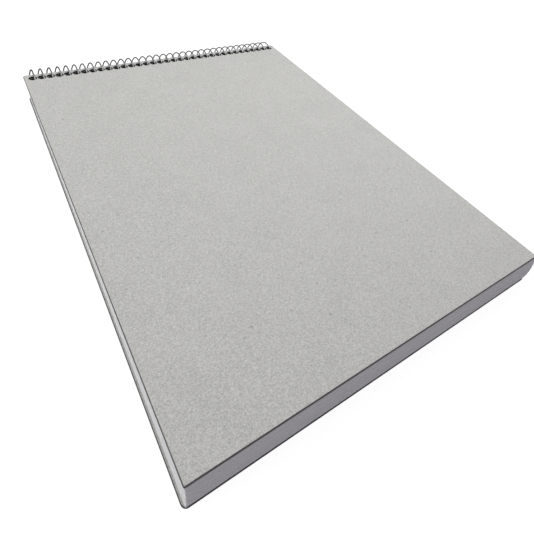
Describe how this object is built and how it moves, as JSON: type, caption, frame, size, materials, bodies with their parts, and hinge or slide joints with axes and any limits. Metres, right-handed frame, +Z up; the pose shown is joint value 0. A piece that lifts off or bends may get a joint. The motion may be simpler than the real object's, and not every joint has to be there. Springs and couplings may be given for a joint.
{
  "type": "spiral-bound paper pad",
  "caption": "Pad of plain bond paper between two grey chipboard boards, held along one short edge by a wire spiral on which the cover and the sheets turn over.",
  "frame": {"origin": "middle of the pad's own box, at the lowest point of the spiral, which is where the pad lies on a table", "axes": "+X along the bound edge, towards the right as the pad is used; +Y from the front edge to the bound edge; +Z up, out of the front cover"},
  "size_m": [0.2308, 0.32, 0.0253],
  "materials": {
    "greyboard": "matte, fibrous",
    "bond_paper": "matte",
    "spiral_wire": "bright drawn wire"
  },
  "bodies": {
    "back_and_spiral": {"back_board": "greyboard", "spiral_wire": "spiral_wire"},
    "front_cover": {"front_cover": "greyboard"},
    "sheet_01": {"sheet_01": "bond_paper"},
    "sheet_02": {"sheet_02": "bond_paper"},
    "sheet_03": {"sheet_03": "bond_paper"},
    "sheet_04": {"sheet_04": "bond_paper"},
    "sheet_bundle_01": {"sheet_bundle_01": "bond_paper"},
    "sheet_bundle_02": {"sheet_bundle_02": "bond_paper"},
    "sheet_bundle_03": {"sheet_bundle_03": "bond_paper"},
    "sheet_bundle_04": {"sheet_bundle_04": "bond_paper"},
    "sheet_bundle_05": {"sheet_bundle_05": "bond_paper"},
    "sheet_bundle_06": {"sheet_bundle_06": "bond_paper"},
    "sheet_bundle_07": {"sheet_bundle_07": "bond_paper"},
    "sheet_bundle_08": {"sheet_bundle_08": "bond_paper"},
    "sheet_bundle_09": {"sheet_bundle_09": "bond_paper"},
    "sheet_bundle_10": {"sheet_bundle_10": "bond_paper"},
    "sheet_bundle_11": {"sheet_bundle_11": "bond_paper"},
    "sheet_bundle_12": {"sheet_bundle_12": "bond_paper"},
    "sheet_bundle_13": {"sheet_bundle_13": "bond_paper"},
    "sheet_bundle_14": {"sheet_bundle_14": "bond_paper"},
    "sheet_bundle_15": {"sheet_bundle_15": "bond_paper"},
    "sheet_bundle_16": {"sheet_bundle_16": "bond_paper"},
    "sheet_bundle_17": {"sheet_bundle_17": "bond_paper"},
    "sheet_bundle_18": {"sheet_bundle_18": "bond_paper"},
    "sheet_bundle_19": {"sheet_bundle_19": "bond_paper"},
    "sheet_bundle_20": {"sheet_bundle_20": "bond_paper"}
  },
  "joints": [
    {"name": "sheet_bundle_20_turn", "type": "hinge", "parent": "back_and_spiral", "child": "sheet_bundle_20", "pos_m": [0, 0.14727, 0.01264], "axis": [-1, 0, 0], "range_deg": [0, 180]},
    {"name": "sheet_bundle_19_turn", "type": "hinge", "parent": "sheet_bundle_20", "child": "sheet_bundle_19", "pos_m": [0, 0.14727, 0.01264], "axis": [-1, 0, 0], "range_deg": [0, 180]},
    {"name": "sheet_bundle_18_turn", "type": "hinge", "parent": "sheet_bundle_19", "child": "sheet_bundle_18", "pos_m": [0, 0.14727, 0.01264], "axis": [-1, 0, 0], "range_deg": [0, 180]},
    {"name": "sheet_bundle_17_turn", "type": "hinge", "parent": "sheet_bundle_18", "child": "sheet_bundle_17", "pos_m": [0, 0.14727, 0.01264], "axis": [-1, 0, 0], "range_deg": [0, 180]},
    {"name": "sheet_bundle_16_turn", "type": "hinge", "parent": "sheet_bundle_17", "child": "sheet_bundle_16", "pos_m": [0, 0.14727, 0.01264], "axis": [-1, 0, 0], "range_deg": [0, 180]},
    {"name": "sheet_bundle_15_turn", "type": "hinge", "parent": "sheet_bundle_16", "child": "sheet_bundle_15", "pos_m": [0, 0.14727, 0.01264], "axis": [-1, 0, 0], "range_deg": [0, 180]},
    {"name": "sheet_bundle_14_turn", "type": "hinge", "parent": "sheet_bundle_15", "child": "sheet_bundle_14", "pos_m": [0, 0.14727, 0.01264], "axis": [-1, 0, 0], "range_deg": [0, 180]},
    {"name": "sheet_bundle_13_turn", "type": "hinge", "parent": "sheet_bundle_14", "child": "sheet_bundle_13", "pos_m": [0, 0.14727, 0.01264], "axis": [-1, 0, 0], "range_deg": [0, 180]},
    {"name": "sheet_bundle_12_turn", "type": "hinge", "parent": "sheet_bundle_13", "child": "sheet_bundle_12", "pos_m": [0, 0.14727, 0.01264], "axis": [-1, 0, 0], "range_deg": [0, 180]},
    {"name": "sheet_bundle_11_turn", "type": "hinge", "parent": "sheet_bundle_12", "child": "sheet_bundle_11", "pos_m": [0, 0.14727, 0.01264], "axis": [-1, 0, 0], "range_deg": [0, 180]},
    {"name": "sheet_bundle_10_turn", "type": "hinge", "parent": "sheet_bundle_11", "child": "sheet_bundle_10", "pos_m": [0, 0.14727, 0.01264], "axis": [-1, 0, 0], "range_deg": [0, 180]},
    {"name": "sheet_bundle_09_turn", "type": "hinge", "parent": "sheet_bundle_10", "child": "sheet_bundle_09", "pos_m": [0, 0.14727, 0.01264], "axis": [-1, 0, 0], "range_deg": [0, 180]},
    {"name": "sheet_bundle_08_turn", "type": "hinge", "parent": "sheet_bundle_09", "child": "sheet_bundle_08", "pos_m": [0, 0.14727, 0.01264], "axis": [-1, 0, 0], "range_deg": [0, 180]},
    {"name": "sheet_bundle_07_turn", "type": "hinge", "parent": "sheet_bundle_08", "child": "sheet_bundle_07", "pos_m": [0, 0.14727, 0.01264], "axis": [-1, 0, 0], "range_deg": [0, 180]},
    {"name": "sheet_bundle_06_turn", "type": "hinge", "parent": "sheet_bundle_07", "child": "sheet_bundle_06", "pos_m": [0, 0.14727, 0.01264], "axis": [-1, 0, 0], "range_deg": [0, 180]},
    {"name": "sheet_bundle_05_turn", "type": "hinge", "parent": "sheet_bundle_06", "child": "sheet_bundle_05", "pos_m": [0, 0.14727, 0.01264], "axis": [-1, 0, 0], "range_deg": [0, 180]},
    {"name": "sheet_bundle_04_turn", "type": "hinge", "parent": "sheet_bundle_05", "child": "sheet_bundle_04", "pos_m": [0, 0.14727, 0.01264], "axis": [-1, 0, 0], "range_deg": [0, 180]},
    {"name": "sheet_bundle_03_turn", "type": "hinge", "parent": "sheet_bundle_04", "child": "sheet_bundle_03", "pos_m": [0, 0.14727, 0.01264], "axis": [-1, 0, 0], "range_deg": [0, 180]},
    {"name": "sheet_bundle_02_turn", "type": "hinge", "parent": "sheet_bundle_03", "child": "sheet_bundle_02", "pos_m": [0, 0.14727, 0.01264], "axis": [-1, 0, 0], "range_deg": [0, 180]},
    {"name": "sheet_bundle_01_turn", "type": "hinge", "parent": "sheet_bundle_02", "child": "sheet_bundle_01", "pos_m": [0, 0.14727, 0.01264], "axis": [-1, 0, 0], "range_deg": [0, 180]},
    {"name": "sheet_04_turn", "type": "hinge", "parent": "sheet_bundle_01", "child": "sheet_04", "pos_m": [0, 0.14727, 0.01264], "axis": [-1, 0, 0], "range_deg": [0, 180]},
    {"name": "sheet_03_turn", "type": "hinge", "parent": "sheet_04", "child": "sheet_03", "pos_m": [0, 0.14727, 0.01264], "axis": [-1, 0, 0], "range_deg": [0, 180]},
    {"name": "sheet_02_turn", "type": "hinge", "parent": "sheet_03", "child": "sheet_02", "pos_m": [0, 0.14727, 0.01264], "axis": [-1, 0, 0], "range_deg": [0, 180]},
    {"name": "sheet_01_turn", "type": "hinge", "parent": "sheet_02", "child": "sheet_01", "pos_m": [0, 0.14727, 0.01264], "axis": [-1, 0, 0], "range_deg": [0, 180]},
    {"name": "front_cover_turn", "type": "hinge", "parent": "sheet_01", "child": "front_cover", "pos_m": [0, 0.14727, 0.01264], "axis": [-1, 0, 0], "range_deg": [0, 180]}
  ]
}
